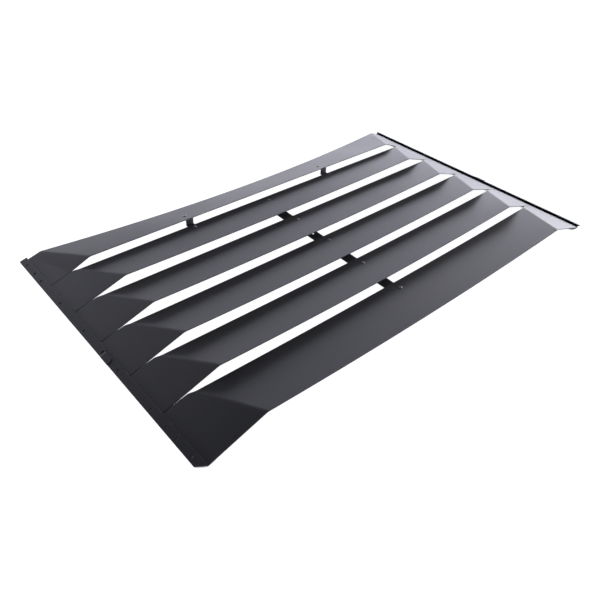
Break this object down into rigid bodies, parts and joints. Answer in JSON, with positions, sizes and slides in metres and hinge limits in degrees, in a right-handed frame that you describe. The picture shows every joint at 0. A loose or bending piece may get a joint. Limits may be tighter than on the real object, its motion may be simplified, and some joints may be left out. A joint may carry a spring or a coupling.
{
  "type": "rear window louvre panel",
  "caption": "Black folded-sheet louvre panel: wide bowed slats with folded ends between two drilled side rails, with a flat centre support bar and small Z brackets.",
  "frame": {"origin": "middle of the plan, at the level of the lowest edge of the side rails", "axes": "+X along the slats to the right, +Y across the slats towards the hollow top edge, +Z out of the raised, outer face"},
  "size_m": [1.2034, 0.733, 0.0451],
  "materials": {
    "black_coat": "semi-matte black powder coat",
    "rivet_finish": "satin dark metal"
  },
  "bodies": {
    "root": {"slat_1": "black_coat", "slat_2": "black_coat", "slat_3": "black_coat", "slat_4": "black_coat", "slat_5": "black_coat", "slat_6": "black_coat", "rail_left_upper": "black_coat", "rail_left_lower": "black_coat", "rail_right_upper": "black_coat", "rail_right_lower": "black_coat", "centre_support_bar": "black_coat", "bracket_left": "black_coat", "bracket_right": "black_coat", "bar_rivet_2": "rivet_finish", "bar_rivet_3": "rivet_finish", "bar_rivet_4": "rivet_finish", "bar_rivet_5": "rivet_finish", "bar_rivet_6": "rivet_finish", "bracket_rivet_left_top": "rivet_finish", "bracket_rivet_left_foot": "rivet_finish", "bracket_rivet_right_top": "rivet_finish", "bracket_rivet_right_foot": "rivet_finish"}
  },
  "joints": []
}
